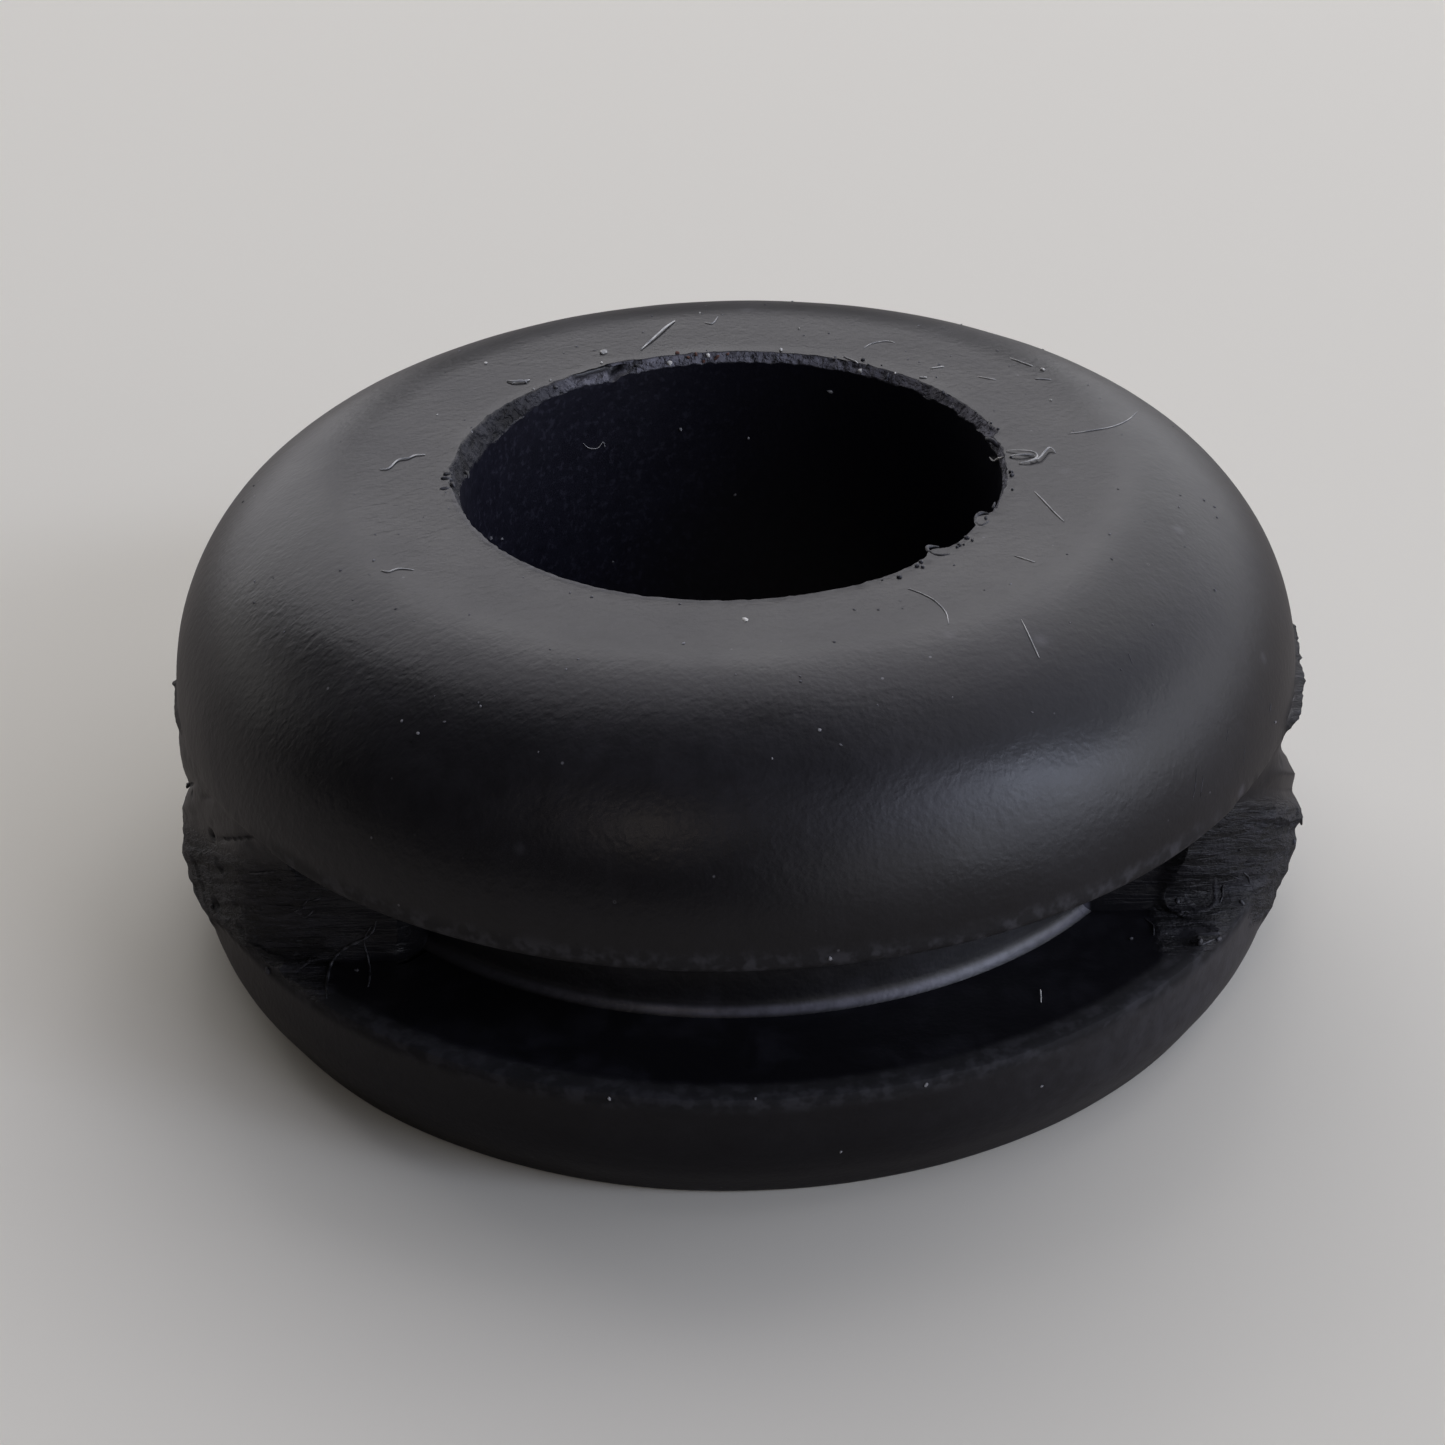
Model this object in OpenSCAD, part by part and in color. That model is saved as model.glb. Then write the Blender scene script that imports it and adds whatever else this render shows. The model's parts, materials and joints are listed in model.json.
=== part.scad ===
// Moulded rubber grommet: two flanges of nearly the same diameter, joined by a
// hollow sleeve, with a groove between them that takes the edge of a panel.
// The groove is open at the front and at the back. At the left and the right it
// is bridged by a web of rubber, torn off where the moulding came out of its strip.
// The origin is on the bore's axis, at the base that the grommet stands on.

/* [Flanges] */
// Diameter over the domed upper flange
dome_d = 20; // [19.6:0.1:21]
// Radius of the dome's shoulder
shoulder_r = 3.55; // [3:0.05:3.6]
// Diameter of the plain lower flange
base_d = 19.85; // [19.4:0.05:20.2]
// Thickness of the lower flange
base_t = 2.4; // [2:0.1:2.8]
// Width of the chamfer under the lower flange's edge
base_edge_w = 0.6; // [0.3:0.05:0.9]
// Height of that chamfer
base_edge_h = 1.05; // [0.5:0.05:1.2]
// Height of the whole grommet
total_h = 8.6; // [8.6:0.1:9.4]
// Radius of the domed flange's lower corner
corner_r = 0.15; // [0.1:0.01:0.2]

/* [Groove] */
// Width of the groove, between the flanges
groove_w = 2.45; // [2:0.05:2.6]
// Diameter at the groove's root
root_d = 15.2; // [14.6:0.1:16]
// Radius of the fillets at the groove's root
root_fillet = 0.3; // [0.15:0.05:0.4]

/* [Bore] */
// Diameter of the bore
bore_d = 9.5; // [8.8:0.1:10]
// Radius of the bore's lower edge
bore_edge_r = 0.2; // [0.1:0.05:0.3]
// Least depth of the ragged edge where the bore was punched through
trim_depth = 0.26; // [0.2:0.02:0.4]
// Mean width of that edge, measured outwards from the bore
trim_w = 0.12; // [0.1:0.01:0.2]

/* [Torn webs] */
// Half angle of the web on the right
right_web_a = 34.5; // [28:0.5:38]
// Half angle of the web on the left
left_web_a = 39.5; // [32:0.5:42]
// How far the torn face stands in from the dome's edge, at the web's top
tear_in = 0.15; // [0.05:0.01:0.25]
// How far the torn face on the right stands out at the web's foot
right_tear_out = 0.22; // [0.05:0.01:0.3]
// How far the torn face on the left stands out at the web's foot
left_tear_out = 0.14; // [0.05:0.01:0.3]
// How far the torn skin hangs down over the lower flange's side, at mid web
skin_lap = 0.8; // [0.2:0.1:0.9]
// Depth of the streaks in the torn faces
streak = 0.06; // [0.02:0.01:0.1]

/* [Flash] */
// Thickness of the flash left on the dome's lower edge
flash_t = 0.1; // [0.06:0.01:0.15]
// How far the flash on the right stands out
right_flash = 0.16; // [0.05:0.01:0.25]
// How far the flash on the left stands out
left_flash = 0.08; // [0.05:0.01:0.25]

/* [Hidden] */
$fn = 96;

dome_or = dome_d / 2;
base_or = base_d / 2;
root_r = root_d / 2;
bore_r = bore_d / 2;
under_z = base_t + groove_w;         // underside of the domed flange
shoulder_z = total_h - shoulder_r;   // where the dome becomes upright
crown_r = dome_or - shoulder_r;      // radius of the flat crown
sink = 0.3;                          // how deep webs and flash run into the moulding
rubber = [0.13, 0.13, 0.14];

// The part of a section between two heights, from the bore outwards
module band(z0, z1, r) {
    translate([bore_r, z0]) square([r - bore_r, z1 - z0]);
}

// What a fillet adds in a corner: dr and dz are +1 or -1, towards the open side
module fillet(r, z, radius, dr, dz) {
    translate([r, z])
        difference() {
            translate([dr > 0 ? -0.01 : -radius, dz > 0 ? -0.01 : -radius])
                square(radius + 0.01);
            translate([dr * radius, dz * radius]) circle(radius);
        }
}

// What rounding takes off a corner: dr and dz are +1 or -1, towards the solid
module round_off(r, z, radius, dr, dz) {
    translate([r, z])
        difference() {
            translate([dr > 0 ? -0.1 : -radius, dz > 0 ? -0.1 : -radius])
                square(radius + 0.1);
            translate([dr * radius, dz * radius]) circle(radius);
        }
}

// Half section of the moulding, without its webs
module section() {
    difference() {
        union() {
            band(0, under_z, root_r);
            band(0, base_t, base_or);
            band(under_z, total_h, crown_r);
            band(under_z, shoulder_z, dome_or);
            intersection() {
                translate([crown_r, shoulder_z]) circle(shoulder_r);
                band(shoulder_z, total_h, dome_or);
            }
            fillet(root_r, base_t, root_fillet, 1, 1);
            fillet(root_r, under_z, root_fillet, 1, -1);
        }
        polygon([[base_or - base_edge_w, 0], [base_or, base_edge_h],
                 [base_or + 0.1, base_edge_h], [base_or + 0.1, -0.1],
                 [base_or - base_edge_w, -0.1]]);
        round_off(dome_or, under_z, corner_r, -1, 1);
        round_off(bore_r, 0, bore_edge_r, 1, 1);
    }
}

// A wave that never quite repeats, between about -1 and 1
function rag(x) = 0.5 * sin(x) + 0.3 * sin(2.3 * x + 70) + 0.2 * sin(5.9 * x + 200);

// Radius of a torn face at angle a, a share t of the way up the web.
// It leans in towards the top, is streaked lengthwise and drops away at its ends.
function torn_r(a, t, half, out, seed) =
    let (
        lean = out - (out + tear_in) * pow(t, 0.8),
        streaks = streak * rag(900 * t + 2 * a + seed),
        bites = streak * rag(17 * a + 160 * t + 3 * seed),
        end = min(1, max(0, abs(a) - half + 3.5) / 3.5)
    )
    dome_or + lean + streaks + bites - 0.8 * pow(end, 2);

// Solid behind a torn face, centred on +X, a little wider than the web it is for.
// The face starts inside the base flange, hangs over that flange's side as a skin,
// lowest at mid web, and ends inside the domed flange, clear of its rounded corner.
module torn_block(half, out, seed) {
    columns = 32;
    rows = 10;
    lap = 0.12;
    inner_r = root_r - sink;
    foot_r = base_or - sink;
    head_r = dome_or - corner_r - sink;
    head_z = under_z + sink;
    function angle(i) = (half + 2) * (2 * i / columns - 1);
    function low_z(i) = base_t - lap - skin_lap * max(0, 1 - pow(angle(i) / half, 2));
    function at(r, i, z) = [r * cos(angle(i)), r * sin(angle(i)), z];
    function most_r(t) = t == 1 ? dome_or - corner_r - lap : dome_or + 1;
    function torn_at(i, t) =
        at(min(torn_r(angle(i), t, half, out, seed), most_r(t)), i,
           low_z(i) + (under_z - lap / 2 - low_z(i)) * t);
    function face_at(i, j) =
        j == 0 ? at(foot_r, i, low_z(i) - lap)
        : j == rows ? at(head_r, i, head_z)
        : torn_at(i, (j - 1) / (rows - 2));
    face = [for (i = [0:columns], j = [0:rows]) face_at(i, j)];
    back = [for (i = [0:columns], z = [low_z(i) - lap, head_z]) at(inner_r, i, z)];
    first = len(face);
    function f(i, j) = i * (rows + 1) + j;
    function b(i, k) = first + 2 * i + k;
    faces = concat(
        [for (i = [0:columns - 1], j = [0:rows - 1]) [f(i, j), f(i, j + 1), f(i + 1, j + 1)]],
        [for (i = [0:columns - 1], j = [0:rows - 1]) [f(i, j), f(i + 1, j + 1), f(i + 1, j)]],
        [for (i = [0:columns - 1]) [b(i, 0), b(i + 1, 0), b(i + 1, 1), b(i, 1)]],
        [for (i = [0:columns - 1]) [b(i, 1), b(i + 1, 1), f(i + 1, rows), f(i, rows)]],
        [for (i = [0:columns - 1]) [b(i, 0), f(i, 0), f(i + 1, 0)]],
        [for (i = [0:columns - 1]) [b(i, 0), f(i + 1, 0), b(i + 1, 0)]],
        [concat([b(0, 0), b(0, 1)], [for (j = [rows:-1:0]) f(0, j)])],
        [concat([b(columns, 1), b(columns, 0)], [for (j = [0:rows]) f(columns, j)])]
    );
    polyhedron(concat(face, back), faces);
}

// One web, centred on +X, between two flat ends that stand across the groove
module web(half, out, seed) {
    reach = dome_or + 1;
    intersection() {
        torn_block(half, out, seed);
        linear_extrude(total_h)
            polygon([[0, 0], reach * [1, -tan(half)], reach * [1, tan(half)]]);
    }
}

// Thin flash with a torn edge, centred on +X, on the dome's lower edge
module flash(a0, a1, out, seed) {
    steps = 26;
    function angle(i) = a0 + (a1 - a0) * i / steps;
    function fade(i) = min(1, 5 * i / steps, 5 * (1 - i / steps));
    edge = [
        for (i = [0:steps])
            let (a = angle(i),
                 r = dome_or - 0.05 + (0.05 + out * (0.75 + 0.5 * rag(24 * a + seed))) * fade(i))
            [r * cos(a), r * sin(a)]
    ];
    inner = [for (i = [steps:-1:0]) (dome_or - sink) * [cos(angle(i)), sin(angle(i))]];
    translate([0, 0, (under_z + corner_r + shoulder_z) / 2 - flash_t])
        linear_extrude(flash_t)
            polygon(concat(edge, inner));
}

// The ragged edge of the bore's mouth, as the plug that cuts it away.
// The cut runs deepest on the left, where the punch dragged a sliver out.
module mouth_cut() {
    steps = 60;
    lift = 0.2;
    function angle(i) = 360 * i / steps;
    function drag(a) = pow(max(0, cos(a - 160)), 6);
    function depth(a) = trim_depth * (1 + 0.2 * rag(14 * a) + 0.7 * drag(a));
    function mouth_r(a) = bore_r + trim_w * (1 + 0.25 * rag(19 * a + 50));
    ring = [
        for (i = [0:steps - 1], k = [0, 1])
            let (a = angle(i), r = k == 0 ? bore_r - 0.02 : mouth_r(a),
                 z = k == 0 ? total_h - depth(a) : total_h)
            [r * cos(a), r * sin(a), z]
    ];
    rim = [for (i = [0:steps - 1]) mouth_r(angle(i)) * [cos(angle(i)), sin(angle(i))]];
    top = [for (p = rim) [p.x, p.y, total_h + lift]];
    ends = [[0, 0, total_h - 1.2 * trim_depth], [0, 0, total_h + lift]];
    n = 2 * steps;
    function low(i) = 2 * (i % steps);
    function mid(i) = 2 * (i % steps) + 1;
    function high(i) = n + i % steps;
    low_end = n + steps;
    high_end = low_end + 1;
    faces = concat(
        [for (i = [0:steps - 1]) [low(i), mid(i), mid(i + 1)]],
        [for (i = [0:steps - 1]) [low(i), mid(i + 1), low(i + 1)]],
        [for (i = [0:steps - 1]) [mid(i), high(i), high(i + 1), mid(i + 1)]],
        [for (i = [0:steps - 1]) [high(i), high_end, high(i + 1)]],
        [for (i = [0:steps - 1]) [low(i), low(i + 1), low_end]]
    );
    polyhedron(concat(ring, top, ends), faces);
}

// The whole moulding
module grommet() {
    color(rubber)
        difference() {
            union() {
                rotate_extrude() section();
                web(right_web_a, right_tear_out, 0);
                rotate([0, 0, 180]) web(left_web_a, left_tear_out, 140);
                flash(-33, 14, right_flash, 0);
                rotate([0, 0, 180]) flash(-14, 26, left_flash, 80);
            }
            mouth_cut();
        }
}

grommet();
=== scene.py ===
import json
import math
import random

import bmesh
import bpy
from mathutils import Matrix, Vector, noise
from mathutils.bvhtree import BVHTree

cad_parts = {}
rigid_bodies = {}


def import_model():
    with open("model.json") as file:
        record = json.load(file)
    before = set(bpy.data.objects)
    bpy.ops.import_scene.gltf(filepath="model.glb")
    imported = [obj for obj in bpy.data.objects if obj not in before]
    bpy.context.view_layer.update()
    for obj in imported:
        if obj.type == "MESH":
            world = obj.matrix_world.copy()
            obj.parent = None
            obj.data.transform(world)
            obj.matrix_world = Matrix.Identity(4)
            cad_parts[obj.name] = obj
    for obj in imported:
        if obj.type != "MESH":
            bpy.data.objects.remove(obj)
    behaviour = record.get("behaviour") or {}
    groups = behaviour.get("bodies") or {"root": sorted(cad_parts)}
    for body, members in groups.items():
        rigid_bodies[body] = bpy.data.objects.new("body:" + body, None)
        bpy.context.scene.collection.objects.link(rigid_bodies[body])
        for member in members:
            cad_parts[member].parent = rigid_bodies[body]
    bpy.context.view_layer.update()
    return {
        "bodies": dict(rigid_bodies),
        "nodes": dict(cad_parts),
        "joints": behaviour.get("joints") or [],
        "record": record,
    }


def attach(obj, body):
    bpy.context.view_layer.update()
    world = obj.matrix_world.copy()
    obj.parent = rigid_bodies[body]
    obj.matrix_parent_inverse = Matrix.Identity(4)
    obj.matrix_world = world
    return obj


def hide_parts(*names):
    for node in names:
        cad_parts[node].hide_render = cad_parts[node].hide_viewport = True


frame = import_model()


# -------------------------------------------------------------------- moulding
# A domed and a plain flange on a hollow sleeve, pressed from black rubber in one
# piece. Its half section is spun round the bore. Then the webs torn from the
# strip it was moulded in, the flash and the punched mouth are worked into it.

# sizes in mm, which MM turns to metres: R is a radius, Z a height, T a thickness
MM = 0.001
DOME_R = 10.0
BASE_R = 9.965
ROOT_R = 7.4
FOOT_R = 7.79
BORE_R = 4.75
HEIGHT = 8.6
BASE_T = 2.4
BASE_EDGE = 0.07
UNDER_Z = 4.85
EDGE_Z = 5.0
MOUTH_R = 4.88
MOUTH_DEPTH = 0.2
COLUMNS = 360

# corners of the half section: radius, height, and the rounding with its segments
SECTION = [
    (BORE_R, 0.0, 0.2, 4),
    (9.33, 0.0, 0.1, 3),
    (BASE_R, 1.04, 0.5, 5),
    (BASE_R, BASE_T, BASE_EDGE, 2),
    (FOOT_R, BASE_T, 0.0, 0),
    (7.65, 2.54, 0.12, 4),
    (7.5, 3.7, 0.5, 4),
    (7.5, UNDER_Z, 0.3, 5),
    (DOME_R, UNDER_Z, 0.15, 4),
    (DOME_R, HEIGHT, 3.55, 36),
    (MOUTH_R, HEIGHT, 0.0, 0),
    (BORE_R, HEIGHT - MOUTH_DEPTH, 0.0, 0),
]

body = bmesh.new()
corners = [body.verts.new((r * MM, 0, z * MM)) for r, z, _, _ in SECTION]
body.faces.new(corners)
for corner, (_, _, rounding, segments) in zip(corners, SECTION):
    if rounding:
        bmesh.ops.bevel(
            body, geom=[corner], offset=rounding * MM, offset_type="OFFSET", segments=segments,
            profile=0.5, affect="VERTICES", material=-1,
        )
bmesh.ops.delete(body, geom=body.faces[:], context="FACES_ONLY")


def row_spacing(r, z):
    """Spacing in mm between rows of the mesh on a straight side of the section."""
    if z > HEIGHT - MOUTH_DEPTH - 0.01 and r < MOUTH_R - 0.001:
        return 0.03
    if r < BORE_R + 0.01:
        return 0.09 if z > 7.5 else 0.6
    if z < 0.01:
        return 1.2
    if z < BASE_T - 0.05 and r > ROOT_R:
        return 0.09
    return 0.11


for edge in body.edges[:]:
    middle = (edge.verts[0].co + edge.verts[1].co) / 2 / MM
    cuts = int(edge.calc_length() / MM / row_spacing(middle.x, middle.z))
    if cuts:
        bmesh.ops.subdivide_edges(body, edges=[edge], cuts=cuts)

# "way" is the distance along the section from the dome's lower edge into the groove,
# and GROOVE_WAY its value at the lower flange's top edge
way = body.verts.layers.float.new("way")


def at_section(r, z):
    """The vertex of the section nearest to a radius and a height."""
    target = Vector((r * MM, 0, z * MM))
    return min(body.verts, key=lambda v: (v.co - target).length)


here, last = at_section(DOME_R, EDGE_Z), at_section(BASE_R, BASE_T - BASE_EDGE)
came_from = max((e.other_vert(here) for e in here.link_edges), key=lambda v: v.co.z)
run = 0.0
while here is not last:
    ahead = next(e.other_vert(here) for e in here.link_edges if e.other_vert(here) is not came_from)
    run += (ahead.co - here.co).length / MM
    came_from, here = here, ahead
    here[way] = run
GROOVE_WAY = run

bmesh.ops.spin(
    body, geom=body.verts[:] + body.edges[:], cent=(0, 0, 0), axis=(0, 0, 1), dvec=(0, 0, 0),
    angle=2 * math.pi, steps=COLUMNS, use_merge=True, use_normal_flip=False, use_duplicate=False,
)
bmesh.ops.remove_doubles(body, verts=body.verts[:], dist=1e-7)
bmesh.ops.recalc_face_normals(body, faces=body.faces[:])


def polar(co):
    """Radius, azimuth in degrees and height of a point, lengths in mm."""
    return math.hypot(co.x, co.y) / MM, math.degrees(math.atan2(co.y, co.x)), co.z / MM


def outwards(co):
    """The level direction from the bore's axis out to a point."""
    return Vector((co.x, co.y, 0)).normalized()


def between(x, low, high):
    """0 below low, 1 above high, and a smooth step between them."""
    t = min(1.0, max(0.0, (x - low) / (high - low)))
    return t * t * (3 - 2 * t)


def along(points, x):
    """The value at x on a line through (x, value) points."""
    for (x0, v0), (x1, v1) in zip(points, points[1:]):
        if x <= x1:
            return v0 + (v1 - v0) * max(0.0, x - x0) / (x1 - x0)
    return points[-1][1]


def web_side(azimuth):
    """Which web an azimuth is nearer to, and the angle from its middle, front negative."""
    if abs(azimuth) <= 90:
        return "right", azimuth
    return "left", (180 - azimuth if azimuth > 0 else -180 - azimuth)


def wander(place):
    """Smooth noise at a place, from about -1 to 1."""
    return noise.noise(Vector(place))


# The torn webs: lengths in mm, and angles in degrees from a web's middle, front negative.
# wall_y is how far its end walls stand from the bore's axis. lean is the radius of its
# torn face less the dome's radius, by height, at y = LEAN_Y, and mean_lean the same away
# from the last tears. skin_foot is the lowest height of the skin that hangs over the
# flange's side, and smooth_foot the height down to which the dome's smooth skin runs on
# over the face, both by angle. lost is the depth and width of the corners lost at its
# ends. tears are level, first and last angle, depth and width.
WEBS = {
    "right": {
        "half": 34.5, "wall_y": 4.9, "lost": (1.4, 13.5),
        "lean": [
            (-0.5, 0.02), (0.5, 0.07), (0.85, 0.14), (1.2, 0.22), (1.55, 0.27), (1.72, 0.2), (1.9, 0.3),
            (2.2, 0.31), (2.4, 0.18), (2.58, 0.1), (2.92, 0.14), (3.1, 0.04), (3.28, -0.04),
            (3.42, -0.15), (3.6, -0.15), (3.78, -0.08), (3.95, -0.01), (5.0, 0.0)],
        "mean_lean": [(0, 0.05), (1, 0.17), (2.2, 0.24), (3.3, 0.04), (5, 0)],
        "skin_foot": [
            (-40, 2.35), (-34, 2.1), (-28, 1.8), (-20, 1.0), (-12, 0.6), (0, 0.8), (12, 1.4),
            (24, 1.9), (36, 2.3)],
        "tears": [
            (0.92, -37, -24, -0.08, 0.04), (0.72, -30, -10, -0.07, 0.04), (0.8, -26, -10, 0.04, 0.05),
            (0.63, -17, -8, -0.05, 0.03), (0.86, -37, -29, 0.04, 0.03), (0.2, -36, -14, -0.03, 0.05),
            (-0.15, -36, -12, 0.03, 0.05), (-0.5, -30, -10, -0.04, 0.06)],
        "smooth_foot": [
            (-36, 4.9), (-32, 4.6), (-26, 4.2), (-20, 3.6), (-12, 2.9), (-6, 2.8), (0, 2.9),
            (12, 3.4), (24, 4.3), (34, 5.0)],
    },
    "left": {
        "half": 39.5, "wall_y": 5.9, "lost": (0.75, 8.0),
        "lean": [
            (-0.5, 0.02), (0.5, 0.05), (0.9, 0.12), (1.3, 0.18), (1.6, 0.17), (1.8, 0.24), (2.1, 0.19),
            (2.4, 0.15), (2.75, 0.15), (2.9, 0.09), (3.06, 0.02), (3.14, -0.02), (3.2, -0.1),
            (3.28, -0.03), (3.6, 0.04), (4.2, 0.05), (5.0, 0.03)],
        "mean_lean": [(0, 0.04), (1.2, 0.15), (2.2, 0.17), (3.3, 0.04), (5, 0.02)],
        "skin_foot": [
            (-40, 2.35), (-26, 2.0), (-20, 1.5), (-12, 0.8), (0, 0.9), (15, 1.5), (30, 2.1), (40, 2.35)],
        "tears": [
            (0.86, -37, -27, -0.17, 0.04), (1.55, -29, -23, -0.14, 0.04), (0.62, -38, -20, 0.03, 0.04),
            (1.3, -22, -14, -0.04, 0.04), (0.45, -42, -22, 0.03, 0.05), (0.1, -42, -24, -0.04, 0.05),
            (-0.3, -42, -20, -0.03, 0.05)],
        "smooth_foot": [
            (-44, 4.9), (-40, 4.5), (-36, 4.4), (-32, 4.25), (-26, 3.9), (-20, 3.5), (-12, 3.05),
            (-6, 2.9), (0, 3.0), (14, 3.6), (30, 4.6), (39, 5.0)],
    },
}
LEAN_Y = -1.5
# the streaks of the torn faces rise towards the front and the back, by STREAK_LEAN from
# the level, and turn smoothly from one to the other over TURN_Y mm at a web's middle
STREAK_LEAN = math.radians(33)
TURN_Y = 0.8
# an end wall takes up WALL_DEGREES to each side of a web's end. The columns within
# CROWD_DEGREES of it crowd together there, those of the wall to SQUEEZE of their width.
WALL_DEGREES = 2.0
CROWD_DEGREES = 8.0
SQUEEZE = 0.2


def streak_place(co):
    """A point in mm along and across the streaks of a torn face."""
    x, y, z = co / MM
    front = -math.hypot(y, TURN_Y)
    return Vector((x * 0.5, front * math.cos(STREAK_LEAN) - z * math.sin(STREAK_LEAN),
                   z * math.cos(STREAK_LEAN) + front * math.sin(STREAK_LEAN)))


def torn_rough(side, angle, place):
    """Height in mm of the streaks and single tears of a torn face."""
    level = place.z + 0.05 * wander((place.x * 1.2, place.y * 1.2, 4.0))
    across = wander((place.x * 0.4, place.y * 0.4, level * 4.5))
    fine = wander(Vector((place.x, place.y * 0.8, level * 10.0)) + Vector((7, 3, 1)))
    chips = wander(place * 2.6 + Vector((20, 5, 9)))
    rough = 0.028 * across + 0.022 * fine + 0.02 * chips - 0.05 * between(chips, 0.36, 0.5)
    for tear, first, final, depth, width in WEBS[side]["tears"]:
        reach = between(angle, first - 1, first + 1) * (1 - between(angle, final - 2, final))
        rough += depth * reach * math.exp(-((level - tear) / width) ** 2)
    if side == "left":
        rough -= 0.07 * (1 - between(level, 0.27, 0.34)) * (1 - between(angle, -36, -31))
    return rough


def torn_out(side, angle, z, place):
    """Radius of a torn face less the dome's radius, in mm."""
    web = WEBS[side]
    lost, lost_width = web["lost"]
    end = min(1.0, max(0.0, (abs(angle) - web["half"] + lost_width) / lost_width))
    off_middle = between(abs(abs(angle) - 10), 5, 20)
    y = DOME_R * math.sin(math.radians(max(-28.0, min(12.0, angle))))
    tilted = z + math.tan(STREAK_LEAN) * (y - LEAN_Y)
    height_share = min(1.0, max(0.0, (z - BASE_T) / (EDGE_Z - BASE_T)))
    detail = 1 - between(angle, -4, 6)
    if side == "left":
        detail *= 1 - between(-angle, 15, 25)
    base = along(web["lean"], tilted) * detail + along(web["mean_lean"], z) * (1 - detail)
    base *= (1 - 0.6 * off_middle) * (1 - between(z, 4.4, 4.95))
    smooth = along(web["smooth_foot"], angle)
    fade = (1 - 0.6 * between(z, smooth - 0.35, smooth)) * (1 - between(z, 4.75, 4.98))
    flare = 0.15 + 0.85 * between(z, BASE_T - BASE_EDGE, BASE_T + 0.2)
    ends = lost * flare * (0.2 + 0.8 * (1 - height_share) ** 0.6) * end * end
    return base + torn_rough(side, angle, place) * fade - ends


def wall_swing(side, off, r, z):
    """Degrees by which the end of a web turns, so that its wall runs level across the groove."""
    level = math.degrees(math.asin(min(0.95, WEBS[side]["wall_y"] / r)))
    swing = max(0.0, min(6.0, level - WEBS[side]["half"]))
    near = 1 - between(abs(off), 0.5, 7.5)
    return swing * between(4.95 - z, 0, 1.2) * between(z, 1.5, 2.3) * near


# the shading breaks at the edges of the punched band and, between the webs, at the
# foot of the groove
for face in body.faces:
    face.smooth = True
for edge in body.edges:
    ends = [polar(vert.co) for vert in edge.verts]
    for sharp_r, sharp_z in ((MOUTH_R, HEIGHT), (BORE_R, HEIGHT - MOUTH_DEPTH), (FOOT_R, BASE_T)):
        if all(abs(r - sharp_r) + abs(z - sharp_z) < 0.002 for r, _, z in ends):
            side, angle = web_side(ends[0][1])
            edge.smooth = sharp_r == FOOT_R and abs(angle) < WEBS[side]["half"] + 2

# finer columns where the webs are, so that their tears and the flash have room
web_edges = []
for edge in body.edges:
    (r0, a0, z0), (r1, a1, z1) = polar(edge.verts[0].co), polar(edge.verts[1].co)
    side, angle = web_side((a0 + a1) / 2 if abs(a0 - a1) < 90 else 180.0)
    if abs(z0 - z1) > 1e-4 or abs(r0 - r1) > 1e-4 or abs(angle) > WEBS[side]["half"] + 4:
        continue
    if 0.9 < z0 < 5.15 and r0 > ROOT_R - 0.01:
        web_edges.append(edge)
bmesh.ops.subdivide_edges(body, edges=web_edges, cuts=1, use_grid_fill=True)

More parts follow.
